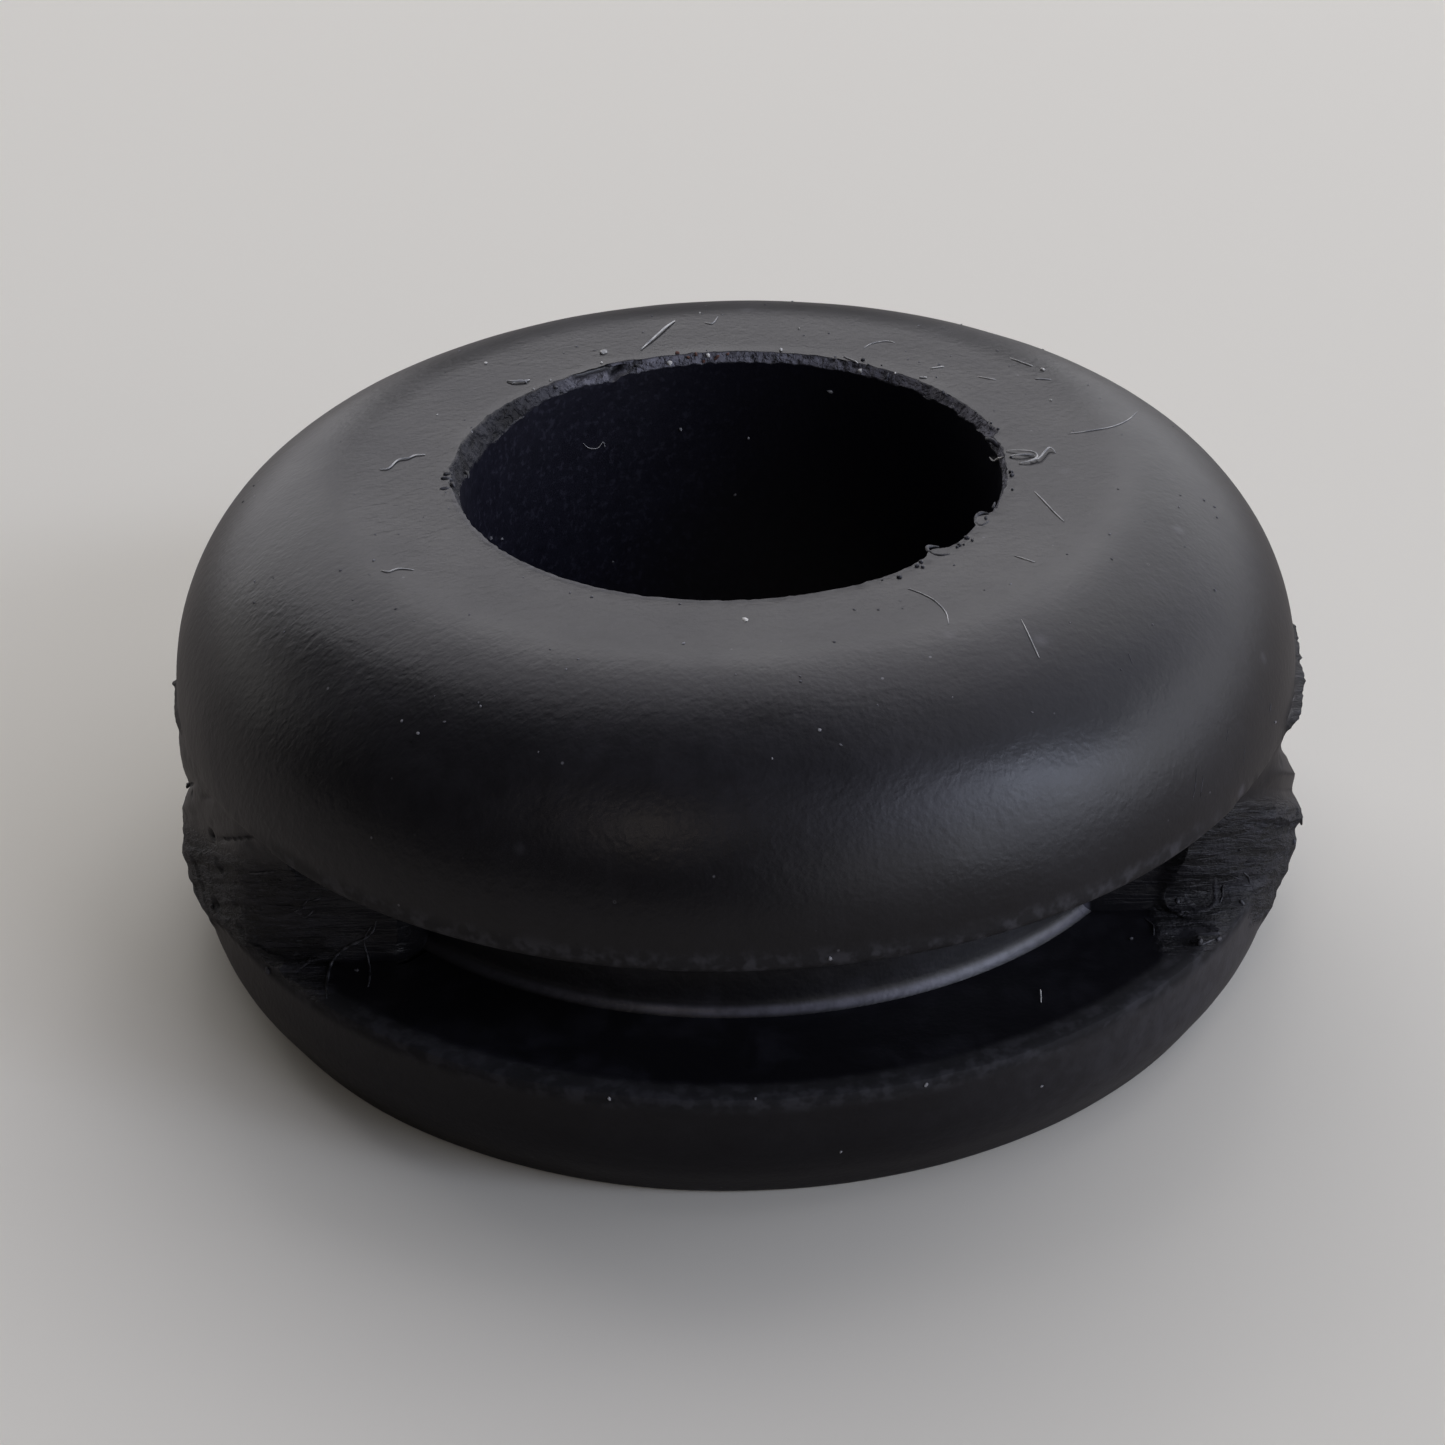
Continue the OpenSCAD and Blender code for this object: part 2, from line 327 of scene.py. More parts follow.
# shares of the surface: torn, punched, and inside the groove, where the finish paints shade
torn = body.verts.layers.float.new("torn")
punched = body.verts.layers.float.new("punched")
inside = body.verts.layers.float.new("inside")
for vert in body.verts:
    vert[inside] = between(vert[way], 0.05, 0.5)
for vert in body.verts:
    r, azimuth, z = polar(vert.co)
    side, angle = web_side(azimuth)
    web = WEBS[side]
    off = abs(angle) - web["half"]
    if r < ROOT_R - 0.01 or z > 5.9 or z < 0.8 or off > CROWD_DEGREES:
        continue
    # columns crowd together at the ends of a web, where its end walls stand
    squeezed = abs(off) * SQUEEZE
    if abs(off) > WALL_DEGREES:
        wall = WALL_DEGREES * SQUEEZE
        spread = (CROWD_DEGREES - wall) / (CROWD_DEGREES - WALL_DEGREES)
        squeezed = wall + (abs(off) - WALL_DEGREES) * spread
    in_rows = between(z, 1.5, 2.3) * (1 - between(z, 5.05, 5.8))
    new_off = off
    if abs(off) < CROWD_DEGREES:
        new_off += (math.copysign(squeezed, off) - off) * in_rows
    new_angle = math.copysign(web["half"] + new_off, angle)
    sense = 1 if side == "right" else -1
    turn = (new_angle - angle) * sense
    vert.co = Matrix.Rotation(math.radians(turn), 3, "Z") @ vert.co
    outward = outwards(vert.co)
    share = 1 - min(1.0, max(0.0, (off + WALL_DEGREES) / (2 * WALL_DEGREES)))
    if z < BASE_T - BASE_EDGE + 0.01 and r > BASE_R - 0.3:
        # skin over the lower flange's side
        foot = along(web["skin_foot"], new_angle) + 0.14 * wander((new_angle * 0.45, 3, 5))
        place = streak_place(vert.co)
        out = DOME_R + torn_out(side, new_angle, z, place) - BASE_R
        cover = between(z, foot - 0.1, foot + 0.35) * min(1.0, share * 1.5)
        if out > 0 and cover > 0:
            vert.co += outward * out * cover * MM
            vert[torn] = between(cover, 0.05, 0.7)
    elif vert[way] > 0 and share > 0:
        drop = vert[way] / GROOVE_WAY
        torn_z = EDGE_Z + (BASE_T - BASE_EDGE - EDGE_Z) * drop
        flat = outward * DOME_R * MM + Vector((0, 0, torn_z * MM))
        out = torn_out(side, new_angle, torn_z, streak_place(flat))
        face_point = flat + outward * out * MM
        vert.co = vert.co.lerp(face_point, share)
        smooth = along(web["smooth_foot"], new_angle)
        r = polar(vert.co)[0]
        vert[torn] = between(share, 0.0, 0.3) * between(drop, 0.0, 0.06) \
            * between(smooth - torn_z, -0.25, 0.45) * (0.2 + 0.8 * between(r, 8.5, 9.6))
        # the end walls keep the groove's painted shade in towards the root
        vert[inside] *= 1 - share * between(r, 8.5, 9.4)
    if new_off < 7.5:
        r, _, z = polar(vert.co)
        swing = math.copysign(wall_swing(side, new_off, r, z), angle) * sense
        vert.co = Matrix.Rotation(math.radians(swing), 3, "Z") @ vert.co
        if 0 < share < 1 and vert[torn] > 0:
            # streaks run on round the corner and across the end wall
            rough = torn_rough(side, new_angle, streak_place(vert.co))
            vert.co.y += math.copysign(rough * min(1.0, 4 * share * (1 - share)) * MM, vert.co.y)

# small pits in the torn faces: azimuth, height, radius, depth
PITS = [
    (-154, 4.0, 0.09, 0.2), (-161, 4.15, 0.06, 0.1), (-155, 2.5, 0.09, 0.12), (-23, 3.4, 0.06, 0.07),
    (-27, 3.0, 0.07, 0.08),
]
for azimuth, z, radius, depth in PITS:
    around = math.radians(azimuth)
    centre = Vector((DOME_R * math.cos(around), DOME_R * math.sin(around), z))
    for vert in body.verts:
        offset = vert.co / MM - centre
        if offset.length < 3 * radius + 0.2:
            outward = outwards(vert.co)
            flat_away = (offset - outward * offset.dot(outward)).length
            vert.co -= outward * depth * math.exp(-(flat_away / radius) ** 2) * MM

# what the webs left on the lower flange: a thin uneven film beside each front end wall
for vert in body.verts:
    r, _, z = polar(vert.co)
    if vert[way] == 0 or r < 8.2 or abs(z - BASE_T) > 0.08 or vert.co.y > -4.6 * MM:
        continue
    x, y = vert.co.x / MM, vert.co.y / MM
    if x > 0:
        film = between(x, 6.95, 7.1) * between(y, -6.4, -6.1) * (1 - between(x, 8.1, 8.4))
        film *= 1 - 0.9 * math.exp(-((x - 7.5) ** 2 + (y + 5.75) ** 2) / 0.05)
        knob = 0.2 * math.exp(-((x - 7.72) ** 2 + (y + 5.98) ** 2) / 0.012)
    else:
        film = between(-x, 6.9, 7.0) * between(y, -7.2, -6.9)
        knob = 0.08 * math.exp(-((x + 7.75) ** 2 + (y + 6.12) ** 2) / 0.01)
    uneven = 0.05 + 0.06 * wander((x * 3.5, y * 3.5, 2)) \
        + 0.03 * wander((x * 9, y * 9, 5))
    vert.co.z += (film * uneven + knob) * MM
    vert[torn] = max(vert[torn], film)

# flash: the thin rubber that was pressed out where the halves of the mould meet
FLASH = {
    "right": [(-22, 0.0), (-20, 0.03), (-19, 0.08), (-17.4, 0.14), (-16, 0.19), (-14, 0.17),
              (-12, 0.15), (-9.5, 0.19), (-6, 0.13), (-1, 0.16), (1.9, 0.22), (2.2, 0.02), (12, 0.0)],
    "left": [(-16, 0.0), (-13.5, 0.05), (-11, 0.07), (-8, 0.05), (-6, 0.06), (-4.5, 0.1), (-4.2, 0.01),
             (0, 0.02), (6, 0.01), (9, 0.0)],
}
for vert in body.verts:
    r, azimuth, z = polar(vert.co)
    if vert[way] == 0 and abs(z - EDGE_Z) < 0.02 and r > 9.9:
        side, angle = web_side(azimuth)
        reach = along(FLASH[side], angle)
        if reach > 0:
            jag = 1 + 0.3 * wander((angle * 0.9, 1, 2)) \
                + 0.25 * wander((angle * 2.3, 5, 2)) \
                + 0.3 * wander((angle * 6, 2, 2))
            outward = outwards(vert.co)
            vert.co += outward * reach * jag * MM
            vert.co.z -= 0.03 * MM
            vert[torn] = min(1.0, reach * 5)

# mouth: the edge of the bore, ragged where the core was punched out. Its radius beyond
# the bore's and the depth of the rough band, by azimuth
MOUTH_EDGE = [
    (-180, 0.15), (-176, 0.18), (-172, 0.1), (-160, 0.07), (-120, 0.06), (-80, 0.06), (-58, 0.07),
    (-50, 0.03), (-47, -0.02), (-45.5, -0.1), (-43.5, -0.12), (-42, 0.02), (-38, 0.07), (-33, 0.05),
    (-30, 0.0), (-28.5, -0.09), (-26.5, -0.1), (-25, 0.06), (-21, 0.11), (-15, 0.08), (-8, 0.1),
    (0, 0.07), (6, 0.1), (11, 0.05), (12.4, 0.06), (13.6, 0.24), (14.6, 0.21), (18, 0.15), (30, 0.12),
    (60, 0.12), (100, 0.13), (110, 0.14), (114, 0.22), (117, 0.22), (120, 0.17), (135, 0.16),
    (150, 0.2), (165, 0.2), (172, 0.16), (177, 0.22), (180, 0.15),
]
MOUTH_BAND = [
    (-180, 0.3), (-150, 0.15), (-30, 0.15), (0, 0.22), (20, 0.22), (60, 0.2), (100, 0.2), (113, 0.22),
    (117, 0.28), (122, 0.24), (136, 0.24), (143, 0.32), (155, 0.44), (165, 0.5), (172, 0.46), (180, 0.3),
]
for vert in body.verts:
    r, azimuth, z = polar(vert.co)
    if r > 5.5 or z < 7.5:
        continue
    outward = outwards(vert.co)
    edge_out = along(MOUTH_EDGE, azimuth) + BORE_R - MOUTH_R
    edge_out += 0.02 * wander(outward * 18) + 0.028 * wander(outward * 50)
    band = along(MOUTH_BAND, azimuth) \
        * (1 + 0.16 * wander(outward * 11) + 0.2 * wander(outward * 32))
    depth = (HEIGHT - z) / MOUTH_DEPTH
    if z > HEIGHT - 0.001:
        near = 1 - between(r, MOUTH_R, MOUTH_R + 0.3)
        vert.co += outward * edge_out * near * MM
        vert.co.z -= (0.012 + 0.012 * wander(outward * 25)) * near ** 3 * MM
    elif depth <= 1.001:
        vert.co.z = (HEIGHT - 0.015 - (band - 0.015) * depth) * MM
        coarse = 1 - 0.85 * between(azimuth, 135, 146) * (1 - between(azimuth, 168, 175))
        grain = 0.025 * wander((outward.x * 30, outward.y * 30, z * 8)) \
            + 0.02 * wander((outward.x * 90, outward.y * 90, z * 25))
        grain *= coarse * min(1.0, 3 * depth, 6 * (1.02 - depth))
        vert.co += outward * (edge_out * (1 - depth) + grain) * MM
        # two chips broken out of the band, which lie in their own shade and are painted as dark as the
        # groove: painted shade
        low_chip = between(azimuth, 112.5, 113.5) * (1 - between(azimuth, 116.5, 118)) \
            * between(depth, 0.2, 0.4)
        high_chip = between(azimuth, 116, 117) * (1 - between(azimuth, 125, 127)) \
            * (1 - between(depth, 0.4, 0.55))
        chip = max(low_chip, high_chip) * (1 - between(depth, 0.8, 0.97))
        vert.co += outward * (0.17 if azimuth < 117 else 0.08) * chip * MM
        vert[punched] = 1 - chip if depth < 0.97 else 0.0
        vert[inside] = chip
    else:
        vert.co.z -= (band - MOUTH_DEPTH) * (1 - between(depth, 1.0, 5.4)) * MM

# the edges of both flanges are a little uneven where the flash was trimmed
for vert in body.verts:
    r, _, z = polar(vert.co)
    outward = outwards(vert.co)
    off_base = abs(z - BASE_T + 0.05)
    if r > BASE_R - 0.2 and off_base < 0.2 and vert[torn] < 0.1:
        uneven = 0.015 * wander(outward * 25) + 0.012 * wander(outward * 70)
        vert.co += (outward - Vector((0, 0, 1))) * uneven * (1 - between(off_base, 0.08, 0.2)) * MM
    off_dome = abs(z - EDGE_Z)
    if r > 9.7 and off_dome < 0.25 and vert[torn] < 0.1:
        uneven = 0.02 * wander(outward * 30) \
            + 0.012 * wander(outward * 80 + Vector((4, 4, z * 6)))
        vert.co += outward * uneven * (1 - between(off_dome, 0.05, 0.25)) * MM
        vert.co.z += 0.8 * uneven * (1 - between(abs(z - EDGE_Z + 0.1), 0.05, 0.2)) * MM

# the sides of a pressed rubber part are never quite true
body.normal_update()
for vert in body.verts:
    r, _, z = polar(vert.co)
    if r > 5.6 and z > 0.01 and vert[torn] == 0 and vert[way] == 0:
        p = vert.co / MM
        wave = 0.014 * wander(p * 0.35) + 0.005 * wander(p * 1.1 + Vector((3, 8, 1)))
        vert.co += vert.normal * wave * between(r, 5.6, 6.4) * MM

# the shading breaks, too, where the walls of the torn webs stand on the lower flange
for edge in body.edges:
    if all(vert[way] > 0 for vert in edge.verts) and edge.calc_face_angle(0) > math.radians(38):
        edge.smooth = False


def put_in_scene(name, data):
    """Makes an object of a mesh, a lamp or a camera and links it into the scene."""
    made = bpy.data.objects.new(name, data)
    bpy.context.scene.collection.objects.link(made)
    return made


def from_bmesh(name, made):
    """Turns a finished bmesh into an object of the scene."""
    made_mesh = bpy.data.meshes.new(name)
    made.to_mesh(made_mesh)
    made.free()
    return put_in_scene(name, made_mesh)


# the other pieces are laid on this skin
skin = BVHTree.FromBMesh(body)
moulding = from_bmesh("moulding", body)


def linear(code):
    """A linear colour from an sRGB hex code."""
    parts = [int(code[i:i + 2], 16) / 255 for i in (1, 3, 5)]
    return (*[p / 12.92 if p <= 0.04045 else ((p + 0.055) / 1.055) ** 2.4 for p in parts], 1.0)


def add_node(tree, kind, inputs=None, **settings):
    """Adds a shader node with its settings. An input, named or numbered, is given a value,
    a socket to link from, or a node, whose first output in use is linked."""
    made = tree.nodes.new("ShaderNode" + kind)
    for name, value in settings.items():
        setattr(made, name, value)
    for key, value in (inputs or {}).items():
        socket = made.inputs[key] if isinstance(key, int) else \
            next(s for s in made.inputs if s.enabled and s.name == key)
        if isinstance(value, bpy.types.Node):
            value = next(s for s in value.outputs if s.enabled)
        if isinstance(value, bpy.types.NodeSocket):
            tree.links.new(value, socket)
        else:
            socket.default_value = value
    return made


def new_finish(piece, name):
    """Gives a piece a material; returns its node tree, its shader, and the place in mm."""
    material = bpy.data.materials.new(name)
    material.use_nodes = True
    piece.data.materials.append(material)
    tree = material.node_tree
    coordinates = add_node(tree, "TexCoord")
    place = add_node(tree, "Mapping", {
        "Vector": coordinates.outputs["Object"], "Scale": (1 / MM, 1 / MM, 1 / MM)})
    return tree, tree.nodes["Principled BSDF"], place


# Rubber filled with carbon black, from a fine-blasted steel mould: nearly black, satin,
# with a faint leathery grain and a grey veil of bloom and dust on its open sides. In the
# groove and the bore it is painted a clean near-black without that veil: painted shade.
# Where it is torn it is duller and drawn out in streaks, and the punched band at the mouth
# is coarse and greyer, with painted light making it paler still away from its left end.
tree, shader, place = new_finish(moulding, "moulded_rubber")
at_x, at_y, at_z = add_node(tree, "SeparateXYZ", {"Vector": place}).outputs
level = add_node(tree, "VectorMath", {0: place, 1: (1, 1, 0)}, operation="MULTIPLY")
radius = add_node(tree, "VectorMath", {0: level}, operation="LENGTH").outputs["Value"]
facing = add_node(tree, "SeparateXYZ", {
    "Vector": add_node(tree, "TexCoord").outputs["Normal"]})
layer = {name: add_node(tree, "Attribute", attribute_name=name).outputs["Fac"]
         for name in ("torn", "punched", "inside")}

# places along the streaks of the torn faces, and along the ripples of the left flank
turned = add_node(tree, "Math", {0: at_y, 1: at_y, 2: TURN_Y ** 2}, operation="MULTIPLY_ADD")
turned = add_node(tree, "Math", {0: turned, 1: 0.5}, operation="POWER")
unsided = add_node(tree, "CombineXYZ", {"X": at_x, "Y": turned, "Z": at_z})
streak_at = add_node(tree, "Mapping", {
    "Vector": unsided, "Rotation": (STREAK_LEAN, 0, 0), "Scale": (1.4, 0.5, 0.12),
}, vector_type="TEXTURE")
ripple_at = add_node(tree, "Mapping", {
    "Vector": place, "Rotation": (0.5, 0.4, 0.8), "Scale": (0.42, 0.15, 0.3),
}, vector_type="TEXTURE")

# noises: coordinates in mm, scale in features to the mm, detail, distortion
pattern = {}
for name, at, scale, detail, distortion in (
    ("clouds", place, 0.45, 3.0, 0.0), ("smudges", place, 1.1, 2.0, 0.4), ("edges", place, 3.2, 2.0, 0.0),
    ("grain", place, 6.5, 1.0, 0.0), ("fine_grain", place, 15.0, 1.0, 0.0),
    ("ripples", ripple_at, 1.0, 2.0, 0.4), ("streaks", streak_at, 1.0, 4.0, 0.5),
    ("threads", streak_at, 2.7, 2.0, 0.8), ("crumbs", place, 8.0, 2.0, 0.0),
    ("lumps", place, 2.6, 2.0, 0.3),
):
    pattern[name] = add_node(tree, "TexNoise", {
        "Vector": at, "Scale": scale, "Detail": detail, "Roughness": 0.6, "Distortion": distortion})

# cells with a dot in each, and a chance for each cell that its dot shows
dots = add_node(tree, "TexVoronoi", {"Vector": place, "Scale": 2.6})
chance = add_node(tree, "SeparateColor", {"Color": dots.outputs["Color"]})
spots = add_node(tree, "TexVoronoi", {"Vector": place, "Scale": 0.55})
spot_chance = add_node(tree, "SeparateColor", {"Color": spots.outputs["Color"]})


def away_from(value, level):
    """How far a value is from a level, on either side."""
    less = add_node(tree, "Math", {0: value, 1: level}, operation="SUBTRACT")
    return add_node(tree, "Math", {0: less}, operation="ABSOLUTE")


# a swirl where the web on the right tore last: how far from its middle, shifted by the
# lumps, and from a ring round it. Its middle is painted darker as painted shade in its dip.
SWIRL = (8.06, -4.69, 2.75)
SWIRL_RING = 0.3
swirl_shift = add_node(tree, "VectorMath", {
    0: pattern["lumps"].outputs["Color"], 1: (0.25, 0.25, 0.25), 2: place}, operation="MULTIPLY_ADD")
from_swirl = add_node(tree, "VectorMath", {
    0: swirl_shift, 1: SWIRL}, operation="DISTANCE").outputs["Value"]

# shares from 0 to 1: what they are read from, and the range over which they change
share = {}
for name, source, low, high, to_low, to_high in (
    ("in_bore", radius, 4.86, 4.95, 1, 0), ("in_groove", layer["inside"], 0.0, 1.0, 0, 1),
    ("facing_up", facing.outputs["Z"], 0.0, 0.95, 0.5, 1), ("front", at_y, -5.6, -7.0, 0, 1),
    ("left", at_x, 1.0, -7.0, 0.25, 1), ("right", at_x, 2.0, 8.5, 0, 1),
    ("below", at_z, 2.25, 2.05, 0, 1), ("near_rim", radius, 9.45, 9.7, 0, 1),
    ("rim", radius, 9.7, 9.85, 0, 1), ("bore_left", at_x, 1.5, -3.0, 0.1, 1),
    # painted light: the punched band is paler away from its left end
    ("band_painted_light", at_x, -3.9, -2.2, 0, 1),
    ("dome_edge", away_from(at_z, EDGE_Z + 0.02), 0.04, 0.34, 1, 0),
    ("base_edge", away_from(at_z, BASE_T - 0.04), 0.08, 0.32, 1, 0),
    # these mark a painted highlight along the foot of the groove, brighter towards the right
    ("foot_in", radius, 7.65, 7.7, 0, 1), ("foot_out", radius, 7.73, 7.79, 1, 0),
    ("foot_low", at_z, 2.55, 2.66, 1, 0), ("foot_lit", at_x, -7.0, 2.5, 0.12, 1),
    ("clouds", pattern["clouds"], 0.3, 0.72, 0.35, 1), ("mottled", pattern["edges"], 0.3, 0.7, 0.55, 1),
    ("edge_dust", pattern["edges"], 0.45, 0.66, 0, 1), ("smudges", pattern["smudges"], 0.42, 0.7, 0, 1),
    ("streaks", pattern["streaks"], 0.4, 0.62, 0, 1), ("threads", pattern["threads"], 0.54, 0.68, 0, 1),
    ("crumbs", pattern["crumbs"], 0.42, 0.66, 0, 1), ("bore_dust", pattern["crumbs"], 0.52, 0.7, 0, 1),
    ("lumps", pattern["lumps"], 0.35, 0.65, 0, 1), ("cracks", pattern["lumps"], 0.33, 0.37, 1, 0),
    ("dot", dots, 0.045, 0.085, 1, 0), ("dotted", chance.outputs["Red"], 0.8, 0.92, 0, 1),
    ("pit", dots, 0.03, 0.08, 1, 0), ("pitted", chance.outputs["Green"], 0.84, 0.88, 0, 1),
    ("spot", spots, 0.02, 0.11, 1, 0), ("spotted", spot_chance.outputs["Green"], 0.6, 0.75, 0, 1),
    ("ring", away_from(from_swirl, SWIRL_RING), 0.0, 0.07, 1, 0), ("swirl", from_swirl, 0.2, 0.55, 1, 0),
):
    share[name] = add_node(tree, "MapRange", {
        "Value": source, "From Min": low, "From Max": high, "To Min": to_low, "To Max": to_high,
    }, interpolation_type="SMOOTHSTEP")
# the bore and the groove, hidden from the lights: the veil and dust are kept off them, painted shade
share["hidden"] = add_node(tree, "Math", {
    0: share["in_bore"], 1: share["in_groove"]}, operation="MAXIMUM")
share["open"] = add_node(tree, "Math", {0: 1.0, 1: share["hidden"]}, operation="SUBTRACT")
# these noises are read as they are
for name in ("grain", "fine_grain", "ripples"):
    share[name] = pattern[name]

# products of those shares
for name, factors in {
    "veil": ("open", "clouds", "facing_up", "mottled"), "speck": ("dot", "dotted", "open"),
    "soft_spot": ("spot", "spotted", "open"), "pore": ("pit", "pitted", "open"),
    "edge_wear": ("dome_edge", "edge_dust", "rim", "front"), "edge_dull": ("dome_edge", "rim", "front"),
    "base_wear": ("base_edge", "edge_dust", "near_rim"), "base_dull": ("base_edge", "near_rim"),
    # painted light: the lower flange's side is paler towards the right, in mottled patches
    "right_side_light": ("below", "right", "open", "mottled"), "bore_left_paler": ("bore_left", "in_bore", "mottled"),
    "bore_specks": ("bore_dust", "bore_left", "in_bore"), "smudge": ("smudges", "mottled", "in_groove"),
    # painted highlight along the groove's foot
    "foot": ("foot_in", "foot_out", "foot_low", "foot_lit", "in_groove", "mottled"),
    "swirl_ring": ("ring", "lumps"), "rippled": ("left", "open", "ripples"),
}.items():
    share[name] = share[factors[0]]
    for factor in factors[1:]:
        share[name] = add_node(tree, "Math", {
            0: share[name], 1: share[factor]}, operation="MULTIPLY")

# finishes, each a base and its layers: share, how much of it, colour
finish = {}
for name, base, layers in (
    ("smooth", "#0e0d11", (
        ("veil", 0.54, "#2c2b31"), ("speck", 0.5, "#85858a"), ("soft_spot", 0.24, "#77767d"),
        # the bore and the groove are painted a clean near-black: painted shade
        ("edge_wear", 0.32, "#5a5a60"), ("pore", 1.0, "#060608"), ("in_bore", 0.85, "#10101a"),
        # painted light on the right of the lower flange's side
        ("in_groove", 0.85, "#141419"), ("base_wear", 0.35, "#4a4a50"), ("right_side_light", 0.8, "#3e3e43"),
        # the left of the bore is painted paler in patches
        ("bore_left_paler", 0.7, "#23232e"), ("bore_specks", 0.5, "#3a3a46"),
        # a pale painted highlight along the groove's foot
        ("smudge", 0.5, "#2f2f36"), ("foot", 0.9, "#62626e"))),
    ("torn", "#08080c", (
        # painted shade: the swirl's middle is painted darker
        ("streaks", 1.0, "#25252b"), ("threads", 0.35, "#55565e"), ("swirl", 0.6, "#0a0a0c"),
        ("swirl_ring", 0.5, "#3c3c44"))),
    ("punched", "#121218", (
        # painted light: the band is paler away from its left end, over its own greyer cut
        ("band_painted_light", 1.0, "#74747e"), ("lumps", 0.14, "#86868f"), ("crumbs", 0.45, "#26262d"),
        ("cracks", 0.7, "#0c0c0f"), ("speck", 0.8, "#b5b5b8"))),
):
    finish[name] = linear(base)
    for part, most, tint in layers:
        amount = add_node(tree, "Math", {0: share[part], 1: most}, operation="MULTIPLY")
        finish[name] = add_node(tree, "Mix", {
            "Factor": amount, "A": finish[name], "B": linear(tint)}, data_type="RGBA")

# relief in mm: mould grain, leathery ripples, streaks, crumbs and lumps
relief = {}
for name, heights in (
    ("smooth", (("grain", 0.0055), ("fine_grain", 0.0025), ("rippled", 0.008))),
    ("torn", (("streaks", 0.035), ("threads", 0.014), ("crumbs", 0.01), ("swirl_ring", 0.03),
              ("swirl", -0.03))),
    ("punched", (("lumps", 0.045), ("crumbs", 0.03), ("cracks", -0.03))),
):
    relief[name] = 0.0
    for part, height in heights:
        relief[name] = add_node(tree, "Math", {
            0: share[part], 1: height, 2: relief[name]}, operation="MULTIPLY_ADD")

# the satin sheen wanders with the clouds, and is duller where dust lies on the edges
satin = add_node(tree, "MapRange", {
    "Value": pattern["clouds"], "From Min": 0.3, "From Max": 0.7, "To Min": 0.33, "To Max": 0.41})
satin = add_node(tree, "Mix", {"Factor": share["in_groove"], "A": satin, "B": 0.36})
satin = add_node(tree, "Mix", {"Factor": share["edge_dull"], "A": satin, "B": 0.62})
satin = add_node(tree, "Mix", {"Factor": share["base_dull"], "A": satin, "B": 0.85})

# the finishes laid over each other: smooth, then torn, then punched
colour, height, rough = finish["smooth"], relief["smooth"], satin
for name, dull in (("torn", 0.64), ("punched", 0.75)):
    colour = add_node(tree, "Mix", {
        "Factor": layer[name], "A": colour, "B": finish[name]}, data_type="RGBA")
    height = add_node(tree, "Mix", {"Factor": layer[name], "A": height, "B": relief[name]})
    rough = add_node(tree, "Mix", {"Factor": layer[name], "A": rough, "B": dull})
bump = add_node(tree, "Bump", {"Height": height, "Strength": 1.0, "Distance": MM})
for socket, source in (("Base Color", colour), ("Roughness", rough), ("Normal", bump)):
    tree.links.new(next(s for s in source.outputs if s.enabled), shader.inputs[socket])
shader.inputs["IOR"].default_value = 1.52

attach(moulding, "root")
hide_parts("grommet")


# --------------------------------------------------------------- torn_films
# Thin ridges, shreds and crumbs of rubber that the tearing of the webs and the punching
# of the bore left standing. They are joined to the moulding and as black as it is, but
# their thin edges catch the light.


def on_skin(point, lift=0.0):
    """The point of the moulding's surface nearest to a point in mm, and its normal."""
    nearest, normal, _, _ = skin.find_nearest(Vector(point) * MM)
    return nearest / MM + normal * lift, normal


def eased(points, steps_between):
    """A smooth line through points, with some steps between each two."""
    points = [Vector(p) for p in points]
    line = []
    for i in range(len(points) - 1):
        before, start = points[max(0, i - 1)], points[i]
        end, after = points[i + 1], points[min(len(points) - 1, i + 2)]
        for step in range(steps_between):
            t = step / steps_between
            line.append(0.5 * (2 * start + (end - before) * t
                               + (2 * before - 5 * start + 4 * end - after) * t * t
                               + (3 * start - before - 3 * end + after) * t ** 3))
    return line + [points[-1]]


def strand(target, points, wide, high, lift=0.0, arch=0.0, tip=0.3, snap=True, segments=6):
    """Draws out a small round section along a line on the moulding, with tapered ends."""
    line = eased(points, 4)
    frames = []
    for i, point in enumerate(line):
        t = i / (len(line) - 1)
        rise = lift + arch * math.sin(math.pi * t)
        found, normal = on_skin(point, rise)
        centre = found if snap else Vector(point)
        ahead = (line[min(i + 1, len(line) - 1)] - line[max(i - 1, 0)]).normalized()
        side = ahead.cross(normal).normalized()
        size = tip + (1 - tip) * min(1.0, 4 * t, 4 * (1 - t))
        frame = Matrix((side * wide * size, side.cross(ahead) * high * size, ahead)).transposed().to_4x4()
        frame.translation = centre
        frames.append(Matrix.Scale(MM, 4) @ frame)
    made = bmesh.ops.create_circle(target, cap_ends=True, radius=1.0, segments=segments, matrix=frames[0])
    end = first_end = next(iter(made["verts"][0].link_faces))
    for last_frame, frame in zip(frames, frames[1:]):
        made = bmesh.ops.extrude_face_region(target, geom=[end])
        if end is not first_end:
            bmesh.ops.delete(target, geom=[end], context="FACES_ONLY")
        moved = [g for g in made["geom"] if isinstance(g, bmesh.types.BMVert)]
        end = next(g for g in made["geom"] if isinstance(g, bmesh.types.BMFace))
        bmesh.ops.transform(target, matrix=frame @ last_frame.inverted(), verts=moved)


